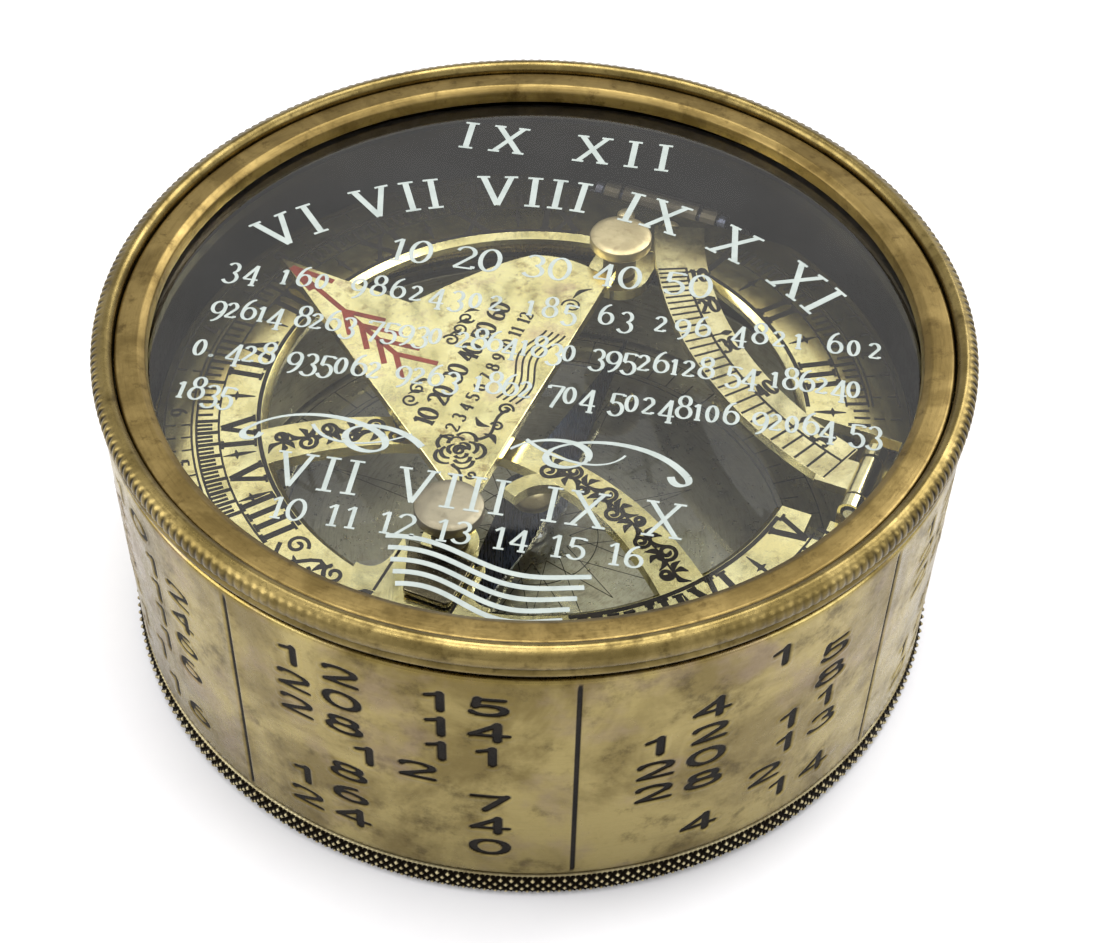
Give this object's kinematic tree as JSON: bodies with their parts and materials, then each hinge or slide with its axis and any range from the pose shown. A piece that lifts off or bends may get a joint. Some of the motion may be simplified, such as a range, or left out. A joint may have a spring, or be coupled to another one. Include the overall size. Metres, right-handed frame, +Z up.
{
  "type": "pocket sundial and compass",
  "caption": "Round brass case with a lift-off glazed lid, engraved side wall, folding horizontal sundial with gnomon and latitude arc, and a compass underneath.",
  "frame": {"origin": "centre of the underside of the base, where it rests on a table", "axes": "+Z is up along the case's axis; the dial inside is turned 23 degrees clockwise, so its noon line points north at 67 degrees from +X"},
  "size_m": [0.0768, 0.0768, 0.0327],
  "materials": {
    "aged_brass": "aged and stained, brushed",
    "bright_brass": "pale, polished, engraved",
    "tan_brass": "satin",
    "steel": "satin",
    "blued_steel": "heat-blued",
    "clear_glass": "polished",
    "gasket_black": "matt"
  },
  "bodies": {
    "base": {"base_cup": "aged_brass", "knurled_base_rim": "aged_brass", "compass_floor": "bright_brass", "compass_scale_ring": "bright_brass", "compass_glass": "clear_glass", "compass_glass_ring": "aged_brass", "needle_pivot": "steel", "plate_hinge_bracket": "bright_brass", "plate_hinge_pin": "steel", "plate_bracket_screw_west": "steel", "plate_bracket_screw_east": "steel", "arc_hinge_bracket": "bright_brass", "arc_hinge_pin": "steel", "arc_bracket_screw_north": "steel", "arc_bracket_screw_south": "steel", "plate_rest_west": "bright_brass", "plate_rest_east": "bright_brass"},
    "hour_plate": {"hour_plate": "bright_brass", "plate_hinge_leaf": "bright_brass", "leaf_rivet_west": "tan_brass", "leaf_rivet_east": "tan_brass", "south_block": "tan_brass", "gnomon_post_north": "tan_brass", "gnomon_post_south": "tan_brass"},
    "gnomon": {"gnomon_plate": "bright_brass"},
    "latitude_arc": {"latitude_arc": "bright_brass"},
    "needle": {"compass_needle": "blued_steel", "needle_cap": "tan_brass"},
    "lid": {"lid_wall": "aged_brass", "lid_collar": "aged_brass", "glass_retaining_ring": "aged_brass", "lid_glass": "clear_glass", "glass_gasket": "gasket_black"}
  },
  "joints": [
    {"name": "lid_lift", "type": "slide", "parent": "base", "child": "lid", "axis": [0, 0, 1], "range_m": [0, 0.08]},
    {"name": "plate_tilt", "type": "hinge", "parent": "base", "child": "hour_plate", "pos_m": [0.01262, 0.02973, 0.0204], "axis": [-0.9205, 0.3907, 0], "range_deg": [0, 50]},
    {"name": "gnomon_raise", "type": "hinge", "parent": "hour_plate", "child": "gnomon", "pos_m": [0, 0, 0.0227], "axis": [0.3907, 0.9205, 0], "range_deg": [0, 90]},
    {"name": "arc_raise", "type": "hinge", "parent": "base", "child": "latitude_arc", "pos_m": [0.02798, -0.01188, 0.022], "axis": [0.3907, 0.9205, 0], "range_deg": [0, 90]},
    {"name": "needle_spin", "type": "hinge", "parent": "base", "child": "needle", "pos_m": [0, 0, 0.0083], "axis": [0, 0, 1], "continuous": true}
  ],
  "couplings": [
    {"joint": "plate_tilt", "follows": "lid_lift", "rad_per_m": 10.9},
    {"joint": "gnomon_raise", "follows": "lid_lift", "rad_per_m": 19.63},
    {"joint": "arc_raise", "follows": "lid_lift", "rad_per_m": 19.63}
  ]
}
